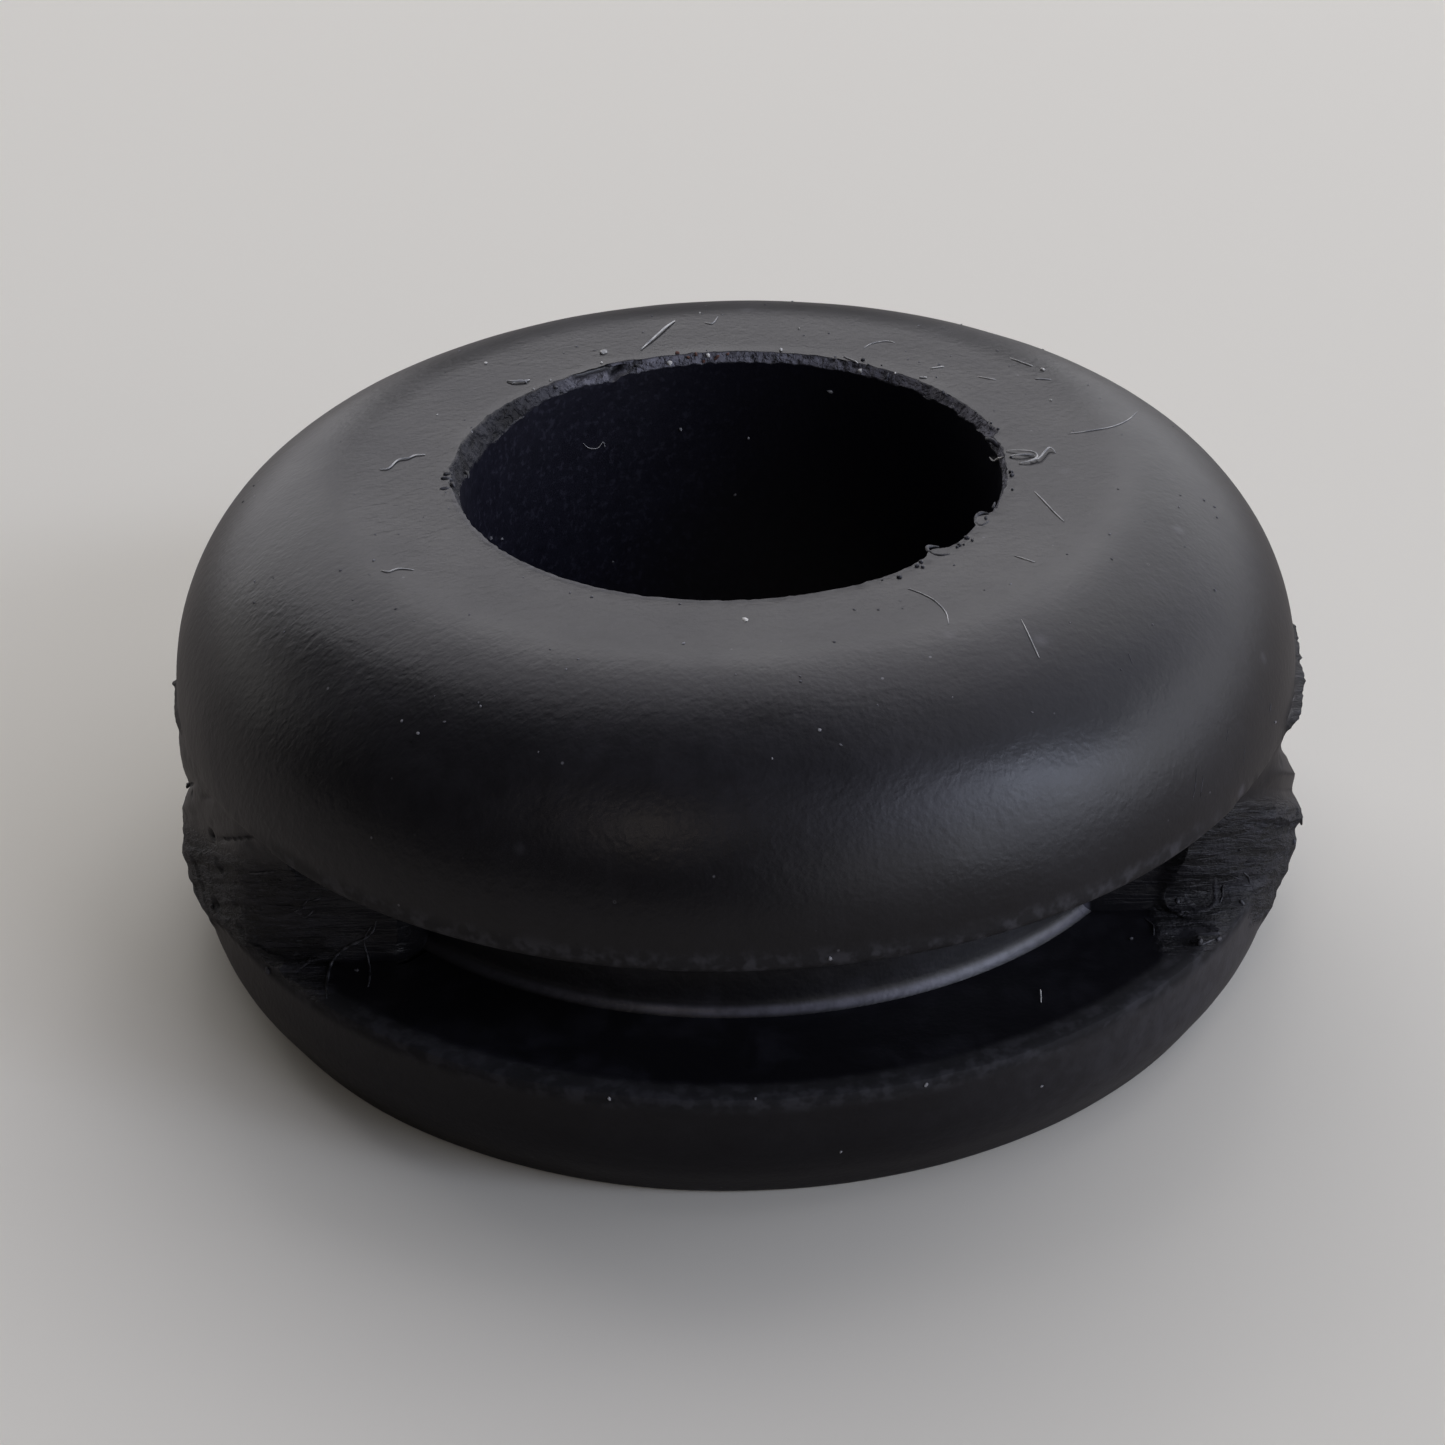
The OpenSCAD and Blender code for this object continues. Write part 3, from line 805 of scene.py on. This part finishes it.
def crumb(target, point, size, sink=0.3, seed=0):
    """A small rough lump that sits on the moulding; its size is given along x, y and z."""
    found, normal = on_skin(point)
    chance = random.Random(seed)
    turn = normal.to_track_quat("Z", "Y").to_matrix().to_4x4() \
        @ Matrix.Rotation(chance.uniform(0, 6.3), 4, "Z")
    made = bmesh.ops.create_icosphere(target, subdivisions=2, radius=1.0)
    for vert in made["verts"]:
        vert.co *= 1 + 0.35 * wander(vert.co * 1.4 + Vector((seed, 2 * seed, 3)))
        vert.co = Vector((vert.co.x * size[0], vert.co.y * size[1], vert.co.z * size[2]))
    middle = found + normal * size[2] * (1 - 2 * sink)
    bmesh.ops.transform(
        target, matrix=Matrix.Scale(MM, 4) @ Matrix.Translation(middle) @ turn, verts=made["verts"])


# ridges of film: points, half width and height in mm
RIDGES = [
    ([(-6.92, -7.0, 2.41), (-6.96, -6.55, 2.43), (-6.93, -6.0, 2.45), (-6.72, -5.97, 2.69),
      (-6.25, -5.96, 2.96), (-6.12, -5.96, 3.24)], 0.028, 0.045),
    ([(-6.36, -5.97, 2.85), (-6.3, -6.04, 2.4), (-6.26, -6.4, 2.4), (-6.26, -6.68, 2.4)], 0.022, 0.035),
    ([(-6.2, -5.98, 3.15), (-6.3, -5.97, 3.0), (-6.36, -5.97, 2.8)], 0.012, 0.03),
    ([(-7.37, -5.9, 3.57), (-7.25, -5.9, 3.67)], 0.014, 0.035),
    ([(-7.48, -5.88, 3.43), (-7.31, -5.9, 3.55)], 0.014, 0.035),
    ([(-7.36, -5.92, 3.33), (-7.26, -5.92, 3.37), (-7.16, -5.92, 3.46)], 0.014, 0.04),
    ([(-7.25, -5.9, 3.64), (-7.0, -5.9, 3.69)], 0.014, 0.03),
    ([(-8.24, -5.49, 3.96), (-7.9, -5.75, 4.15), (-7.7, -5.87, 4.27)], 0.02, 0.03),
    ([(6.9, -5.2, 2.45), (7.02, -5.45, 2.42), (7.0, -5.72, 2.41)], 0.014, 0.03),
    ([(7.27, -5.05, 2.57), (7.39, -5.14, 2.49), (7.67, -5.2, 2.49)], 0.012, 0.025),
    ([(8.35, -4.66, 2.72), (8.33, -4.76, 2.62), (8.23, -4.91, 2.49)], 0.012, 0.025),
    ([(8.66, -4.52, 2.86), (8.8, -4.46, 2.67), (8.85, -4.46, 2.56)], 0.015, 0.035),
    ([(8.0, -5.9, 2.42), (7.75, -6.1, 2.43), (7.6, -6.02, 2.42)], 0.015, 0.04),
    ([(7.41, -6.41, 6.23), (7.39, -6.56, 5.95), (7.33, -6.69, 5.75)], 0.009, 0.006),
    ([(7.54, -6.36, 6.01), (7.48, -6.54, 5.7)], 0.008, 0.006),
    ([(9.0, -4.07, 5.96), (8.97, -4.19, 5.86)], 0.012, 0.01),
    ([(6.32, -5.68, 7.95), (6.37, -5.86, 7.83)], 0.008, 0.006),
    ([(8.05, -5.49, 6.36), (8.0, -5.67, 6.2)], 0.008, 0.006),
    ([(8.39, -5.25, 5.87), (8.35, -5.42, 5.59)], 0.007, 0.005),
]
# shreds round the mouth and on the silhouette, which stand free of the surface
SHREDS = [
    ([(-4.86, 0.05, 8.55), (-4.96, 0.0, 8.6), (-5.02, -0.06, 8.61)], 0.04, 0.03),
    ([(-4.86, -0.16, 8.55), (-4.97, -0.18, 8.6), (-5.06, -0.2, 8.61)], 0.035, 0.03),
    ([(-4.86, -0.52, 8.55), (-4.95, -0.56, 8.6), (-5.05, -0.6, 8.6)], 0.04, 0.03),
    ([(-4.82, -0.24, 8.5), (-4.84, -0.36, 8.57), (-4.8, -0.45, 8.55)], 0.05, 0.03),
    ([(-4.7, 0.3, 8.45), (-4.62, 0.2, 8.5), (-4.6, 0.05, 8.47)], 0.04, 0.025),
    ([(4.4, -2.0, 8.57), (4.24, -1.98, 8.6), (4.14, -2.1, 8.57), (4.14, -2.3, 8.56), (4.22, -2.4, 8.58),
      (4.34, -2.28, 8.6)], 0.04, 0.03),
    ([(3.45, -3.05, 8.54), (3.26, -3.12, 8.58), (3.27, -3.28, 8.57), (3.42, -3.44, 8.59), (3.6, -3.42, 8.6)],
     0.04, 0.03),
    ([(4.45, -1.75, 8.56), (4.5, -1.6, 8.6)], 0.04, 0.02),
    ([(4.62, 0.98, 8.45), (4.55, 0.92, 8.56), (4.66, 0.8, 8.58), (4.75, 0.68, 8.5)], 0.05, 0.022),
    ([(9.92, -1.56, 2.5), (10.05, -1.58, 2.33), (10.16, -1.59, 2.1), (10.22, -1.6, 1.88)], 0.06, 0.05),
    ([(9.82, -1.53, 3.04), (9.96, -1.55, 2.96), (10.0, -1.56, 2.86)], 0.06, 0.04),
    ([(-9.7, -1.36, 3.2), (-9.88, -1.38, 3.18), (-9.94, -1.38, 3.08)], 0.05, 0.035),
]
# crumbs: place, half sizes, seed
CRUMBS = [
    ((7.69, -6.1, 2.5), (0.07, 0.05, 0.07), 1), ((8.06, -5.82, 2.38), (0.07, 0.04, 0.04), 2),
    ((8.51, -4.59, 3.44), (0.03, 0.02, 0.02), 3), ((8.64, -4.81, 2.43), (0.06, 0.03, 0.03), 4),
    ((9.75, -3.07, 2.49), (0.05, 0.04, 0.04), 5), ((-8.01, -5.9, 2.25), (0.08, 0.04, 0.05), 6),
    ((-9.15, -4.1, 2.36), (0.05, 0.04, 0.04), 7), ((7.5, -4.95, 2.6), (0.05, 0.04, 0.03), 8),
    ((-6.5, -6.2, 2.42), (0.05, 0.03, 0.03), 9), ((6.6, -5.8, 2.42), (0.04, 0.03, 0.03), 10),
    ((-3.2, 3.62, 8.5), (0.05, 0.03, 0.04), 11), ((-1.7, 4.5, 8.5), (0.06, 0.03, 0.03), 12),
    ((-9.62, -1.95, 0.5), (0.16, 0.12, 0.07), 15), ((2.95, 3.78, 8.5), (0.07, 0.03, 0.03), 13),
    ((4.35, -1.9, 8.55), (0.05, 0.04, 0.03), 14),
]
# fine crumbs on the edge of the mouth, at the right
scatter = random.Random(11)
for seed in range(20, 48):
    around = math.radians(scatter.uniform(-62, 60))
    out, size = scatter.uniform(4.8, 5.0), scatter.uniform(0.014, 0.034)
    CRUMBS.append(((out * math.cos(around), out * math.sin(around), 8.58), (size * 1.4, size, size), seed))
torn_body = bmesh.new()
for line, wide, high in RIDGES:
    strand(torn_body, line, wide, high)
for line, wide, high in SHREDS:
    strand(torn_body, line, wide, high, snap=False)
for point, size, seed in CRUMBS:
    crumb(torn_body, point, size, seed=seed)
bmesh.ops.recalc_face_normals(torn_body, faces=torn_body.faces[:])
torn_films = from_bmesh("torn_films", torn_body)
torn_films.data.shade_smooth()


def two_shades(tree, shader, place, scale, low, high, dark, pale):
    """Colours a finish in soft patches of two shades. Returns the noise they follow."""
    noise_node = add_node(tree, "TexNoise", {"Vector": place, "Scale": scale, "Detail": 2.0})
    patches = add_node(tree, "MapRange", {
        "Value": noise_node, "From Min": low, "From Max": high})
    shades = add_node(tree, "Mix", {
        "Factor": patches, "A": linear(dark), "B": linear(pale)}, data_type="RGBA")
    tree.links.new(shades.outputs[2], shader.inputs["Base Color"])
    return noise_node


# Freshly torn black rubber: darker than the bloomed outside, waxy, and greyer where it
# has stretched thin.
tree, shader, place = new_finish(torn_films, "torn_thin_rubber")
stretch = two_shades(tree, shader, place, 7.0, 0.4, 0.65, "#1a1a1e", "#54555c")
relief = add_node(tree, "Math", {0: stretch, 1: 0.01}, operation="MULTIPLY")
bump = add_node(tree, "Bump", {"Height": relief, "Strength": 1.0, "Distance": MM})
tree.links.new(bump.outputs["Normal"], shader.inputs["Normal"])
shader.inputs["Roughness"].default_value = 0.5
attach(torn_films, "root")


# ------------------------------------------------------------------------ lint
# Fine pale fibres that cling to the rubber round the mouth and inside the bore, each
# about 0.02 mm thick, curled and lying on the surface.

# points in mm, half thickness, how high the middle stands off the surface. A point
# without a height is on the crown.
FIBRES = [
    ([(-1.63, 4.99), (-1.43, 5.39), (-1.28, 5.7), (-1.13, 6.02), (-1.0, 6.26)], 0.014, 0.03),
    ([(-6.16, 0.19), (-6.0, 0.23), (-5.87, 0.53), (-5.69, 0.6), (-5.58, 0.71), (-5.4, 0.74)],
     0.012, 0.01),
    ([(6.01, 0.97), (6.41, 1.06, 8.61), (6.83, 1.28, 8.57), (7.17, 1.73, 8.48), (7.41, 2.32, 8.35)],
     0.008, 0.0),
    ([(5.21, -1.25), (5.36, -1.69), (5.47, -2.03), (5.6, -2.37)], 0.009, 0.0),
    ([(2.84, -4.58), (3.06, -4.77), (3.25, -5.02), (3.4, -5.41), (3.42, -5.76, 8.59)], 0.008, 0.0),
    ([(4.86, 0.35, 8.59), (5.08, 0.28), (5.31, 0.18), (5.37, -0.01), (5.24, -0.13), (5.04, -0.16)],
     0.013, 0.05),
    ([(4.89, 0.12, 8.59), (5.1, 0.1), (5.34, 0.13)], 0.012, 0.04),
    ([(5.24, -0.1), (5.4, -0.05), (5.5, 0.12), (5.62, 0.34), (5.71, 0.24)], 0.013, 0.06),
    ([(4.65, 0.99, 8.17), (4.71, 0.6, 8.29), (4.82, 0.26, 8.53)], 0.013, 0.03),
    ([(-2.75, 3.87, 7.23), (-2.67, 3.93, 7.11), (-2.51, 4.03, 7.05), (-2.4, 4.1, 7.14),
      (-2.36, 4.12, 7.01)], 0.006, 0.02),
    ([(-0.43, 6.18), (-0.28, 6.12), (-0.17, 6.43)], 0.009, 0.0),
    ([(2.56, 4.83), (2.72, 5.02), (2.98, 5.12), (3.15, 5.05)], 0.008, 0.0),
    ([(2.16, 4.48, 8.59), (2.43, 4.22, 8.58)], 0.009, 0.0),
    ([(3.75, 3.85), (4.01, 3.93)], 0.009, 0.0),
    ([(3.52, 3.48, 8.59), (3.66, 3.46)], 0.012, 0.0),
    ([(-5.83, -3.51, 8.59), (-5.7, -3.58, 8.59), (-5.53, -3.5), (-5.28, -3.56)], 0.01, 0.0),
    ([(4.93, -7.2, 2.4), (4.92, -7.38, 2.4), (4.91, -7.56, 2.4)], 0.01, 0.04),
    ([(4.66, -3.54), (4.98, -3.78)], 0.007, 0.0),
    ([(4.6, -5.55, 8.51), (4.74, -6.08, 8.37), (4.82, -6.34, 8.26)], 0.007, 0.0),
    ([(5.26, 4.26, 8.58), (5.57, 3.96, 8.58), (5.65, 3.9, 8.57)], 0.01, 0.0),
    ([(5.64, 3.3), (5.93, 3.27, 8.58)], 0.009, 0.0),
    ([(4.6, 3.45), (4.92, 3.29)], 0.008, 0.0),
    ([(-4.1, 3.72), (-3.98, 3.66), (-3.8, 3.66), (-3.68, 3.75)], 0.016, 0.02),
    ([(-4.0, 3.6), (-3.85, 3.7), (-3.72, 3.62)], 0.012, 0.03),
]
lint_body = bmesh.new()
for line, thin, arch in FIBRES:
    thick = 1.35 * thin
    line = [(*point, HEIGHT)[:3] for point in line]
    strand(lint_body, line, thick, thick, lift=thick * 0.8, arch=arch, tip=0.5, segments=5)
bmesh.ops.recalc_face_normals(lint_body, faces=lint_body.faces[:])
lint = from_bmesh("lint", lint_body)
lint.data.shade_smooth()

# Cotton and paper fibre: matt off-white, greyer in places where it is thin.
tree, shader, place = new_finish(lint, "cotton_fibre")
two_shades(tree, shader, place, 3.0, 0.35, 0.65, "#8f9092", "#d2d1cd")
shader.inputs["Roughness"].default_value = 0.8
shader.inputs["Subsurface Weight"].default_value = 0.9
shader.inputs["Subsurface Radius"].default_value = (0.03 * MM, 0.03 * MM, 0.03 * MM)
shader.inputs["Subsurface Scale"].default_value = 1.0
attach(lint, "root")


# ------------------------------------------------------------------------ dust
# Grains of pale mineral dust and a few rusty ones, 0.03 to 0.14 mm across, that lie on
# the upper flange, on the lower flange's edge and in the punched band.

# place, half sizes in mm
GRAINS = [
    ((5.82, 3.75, 8.57), (0.06, 0.035, 0.03)), ((5.84, 2.36, 8.6), (0.025, 0.02, 0.02)),
    ((1.37, 5.78, 8.6), (0.03, 0.02, 0.02)), ((-4.54, 4.55, 8.6), (0.035, 0.03, 0.02)),
    ((-2.33, 4.91, 8.6), (0.085, 0.06, 0.05)), ((-2.37, 4.46, 8.6), (0.03, 0.025, 0.02)),
    ((0.18, -5.49, 8.6), (0.07, 0.045, 0.015)), ((-5.3, 2.37, 8.6), (0.025, 0.02, 0.015)),
    ((-0.52, 6.66, 8.59), (0.02, 0.02, 0.015)), ((-1.1, 4.67, 8.46), (0.055, 0.05, 0.05)),
    ((-0.37, 4.81, 8.53), (0.045, 0.04, 0.04)), ((1.0, 4.84, 8.59), (0.045, 0.04, 0.04)),
    ((2.46, 4.11, 8.47), (0.05, 0.04, 0.04)), ((-3.3, 3.75, 8.57), (0.03, 0.025, 0.02)),
    ((-3.6, 3.4, 8.57), (0.025, 0.02, 0.02)), ((3.1, 3.75, 8.57), (0.025, 0.02, 0.02)),
]
# grains in the shade of the bore and on the flanges' sides, painted greyer than the pale grains: painted
# shade
SHADED_GRAINS = [
    ((-5.0, -7.27, 7.7), (0.03, 0.025, 0.015)), ((1.28, -8.14, 8.11), (0.03, 0.03, 0.015)),
    ((1.36, -9.91, 5.07), (0.04, 0.03, 0.02)), ((2.88, -9.5, 2.3), (0.04, 0.03, 0.02)),
    ((4.81, -8.69, 1.58), (0.035, 0.02, 0.02)), ((0.16, -9.91, 2.36), (0.03, 0.025, 0.02)),
    ((-2.15, -9.69, 2.31), (0.04, 0.025, 0.02)), ((1.51, -9.77, 1.2), (0.03, 0.025, 0.02)),
    ((9.1, -4.05, 5.57), (0.025, 0.02, 0.02)), ((1.92, 4.35, 7.95), (0.06, 0.04, 0.03)),
    ((-0.93, 4.66, 7.09), (0.04, 0.03, 0.03)), ((-2.31, 4.15, 4.54), (0.03, 0.03, 0.02)),
    ((-4.43, 1.71, 6.4), (0.04, 0.03, 0.03)), ((-4.26, 2.11, 6.17), (0.03, 0.03, 0.02)),
    ((0.08, 4.75, 5.62), (0.03, 0.04, 0.02)), ((0.36, 4.74, 6.83), (0.03, 0.025, 0.02)),
]
RUSTY = [
    ((-0.95, 4.83, 8.56), (0.05, 0.035, 0.03)), ((-0.75, 4.82, 8.5), (0.04, 0.03, 0.03)),
    ((-0.6, 4.85, 8.55), (0.05, 0.03, 0.03)), ((-0.2, 4.83, 8.48), (0.06, 0.03, 0.03)),
    ((0.0, 4.82, 8.56), (0.035, 0.03, 0.02)), ((-0.45, 4.8, 8.42), (0.04, 0.03, 0.02)),
]
FINE = []
scatter = random.Random(7)
for _ in range(110):
    around, out = scatter.uniform(0, 2 * math.pi), scatter.uniform(4.9, 9.6)
    fine = scatter.uniform(0.01, 0.022)
    FINE.append(((out * math.cos(around), out * math.sin(around), 8.7), (fine * 1.5, fine, fine * 0.6)))


def grains(name, listed, dark, pale):
    """A piece made of small grains that lie on the moulding, in one matt mineral finish."""
    heap = bmesh.new()
    for number, (spot_at, size) in enumerate(listed):
        found, normal = on_skin(spot_at)
        made = bmesh.ops.create_icosphere(heap, subdivisions=1, radius=1.0)
        lie = normal.to_track_quat("Z", "Y").to_matrix().to_4x4() \
            @ Matrix.Rotation(2.4 * number, 4, "Z") @ Matrix.Diagonal((*size, 1.0))
        for vert in made["verts"]:
            vert.co *= 1 + 0.5 * wander(vert.co * 1.3 + Vector((number, 1, 2)))
        at = Matrix.Translation(found + normal * size[2] * 0.5)
        bmesh.ops.transform(heap, matrix=Matrix.Scale(MM, 4) @ at @ lie, verts=made["verts"])
    piece = from_bmesh(name, heap)
    tree, shader, place = new_finish(piece, name + "_mineral")
    two_shades(tree, shader, place, 6.0, 0.35, 0.65, dark, pale)
    shader.inputs["Roughness"].default_value = 0.85
    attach(piece, "root")


grains("dust", GRAINS, "#b5b4b0", "#f0efea")
grains("shaded_dust", SHADED_GRAINS, "#6a6a6e", "#a2a2a5")
grains("fine_dust", FINE, "#55555a", "#8a8a8e")
grains("rusty_dust", RUSTY, "#4a2f2b", "#7d5a50")


# ----------------------------------------------------------------------- floor
# A plain pale table top that the grommet stands on, matt and without a pattern.

plane = bmesh.new()
bmesh.ops.create_grid(plane, x_segments=1, y_segments=1, size=0.6)
floor = from_bmesh("floor", plane)
# painted board: matt, off-white, and paler to the camera alone, so that the pale
# background adds no light to the grommet
table_top = bpy.data.materials.new("matt_table_top")
table_top.use_nodes = True
tree = table_top.node_tree
shader = tree.nodes["Principled BSDF"]
seen = add_node(tree, "LightPath").outputs["Is Camera Ray"]
paint = add_node(tree, "Mix", {
    "Factor": seen, "A": linear("#a09a92"), "B": linear("#f8f5e9")}, data_type="RGBA")
tree.links.new(paint.outputs[2], shader.inputs["Base Color"])
shader.inputs["Roughness"].default_value = 0.9
floor.data.materials.append(table_top)


# ---------------------------------------------------------------------- lights
# Soft studio light: rows of pale soft boxes behind and beside the grommet, a smaller
# and cooler one at the right, and a dim even surround.

world = bpy.data.worlds.new("studio")
bpy.context.scene.world = world
world.use_nodes = True
world.node_tree.nodes["Background"].inputs["Color"].default_value = linear("#d8dade")
world.node_tree.nodes["Background"].inputs["Strength"].default_value = 0.03
LIGHT_DISTANCE = 0.5

# name, azimuth and elevation in degrees, width and height in m, power in W, colour
SOFT_BOXES = [
    ("low_right", 0, 12, 0.28, 0.20, 0.29, "#f0f2fa"),
    ("low_back_right", 30, 12, 0.28, 0.20, 0.19, "#f8f8ff"),
    ("low_back", 62, 12, 0.28, 0.20, 0.24, "#fbfbff"),
    ("low_back_left", 120, 12, 0.28, 0.20, 0.21, "#fdfbff"),
    ("low_left", 150, 12, 0.28, 0.20, 0.09, "#fffbf8"),
    ("low_front", -60, 12, 0.28, 0.20, 0.13, "#f6f4fa"),
    ("low_front_right", -30, 12, 0.28, 0.20, 0.36, "#ecf0ff"),
    ("right", 15, 36, 0.27, 0.22, 0.15, "#eceeff"),
    ("back_right", 51, 36, 0.27, 0.22, 0.23, "#fbfbff"),
    ("back", 87, 36, 0.27, 0.22, 0.39, "#fdfbff"),
    ("back_left", 123, 36, 0.27, 0.22, 0.25, "#fdfbff"),
    ("front_right", -57, 36, 0.27, 0.22, 0.08, "#ececff"),
    ("high_right", 0, 60, 0.26, 0.22, 0.12, "#f0f0ff"),
    ("high_back", 60, 60, 0.26, 0.22, 0.24, "#f8f5ff"),
    ("high_back_left", 120, 60, 0.26, 0.22, 0.16, "#f8f5ff"),
    ("window", -27, 30, 0.10, 0.10, 0.30, "#dfe8ff"),
    ("window_right", -17, 20, 0.08, 0.08, 0.09, "#dfe8ff"),
    ("window_left", -43, 36, 0.13, 0.11, 0.13, "#dfe4ff"),
    ("reading_lamp", -109, 37, 0.10, 0.08, 0.06, "#fff0e4"),
]
for name, azimuth, elevation, width, height, power, tint in SOFT_BOXES:
    lamp = bpy.data.lights.new(name, "AREA")
    lamp.shape = "RECTANGLE"
    lamp.size, lamp.size_y = width, height
    lamp.energy = power
    lamp.color = linear(tint)[:3]
    holder = put_in_scene(name, lamp)
    az, el = math.radians(azimuth), math.radians(elevation)
    aim = Vector((math.cos(el) * math.cos(az), math.cos(el) * math.sin(az), math.sin(el)))
    holder.location = aim * LIGHT_DISTANCE + Vector((0, 0, 0.004))
    holder.rotation_euler = aim.to_track_quat("Z", "Y").to_euler()


# ---------------------------------------------------------------------- camera
# A close camera, 60 mm from the grommet, looking down at about 34 degrees.

camera_data = bpy.data.cameras.new("camera")
camera_data.sensor_width = 36
camera_data.lens = 78.942
camera_data.clip_start = 0.002
camera_data.clip_end = 20
camera = put_in_scene("camera", camera_data)
camera.matrix_world = Matrix((
    (0.99971734, 0.0233711, 0.00436156, 0.0),
    (-0.00836189, 0.51738159, -0.85571395, -0.04979215),
    (-0.02225557, 0.85543561, 0.51743078, 0.03347748),
    (0, 0, 0, 1),
))
bpy.context.scene.camera = camera
bpy.context.scene.view_settings.view_transform = "Standard"

bpy.context.view_layer.update()
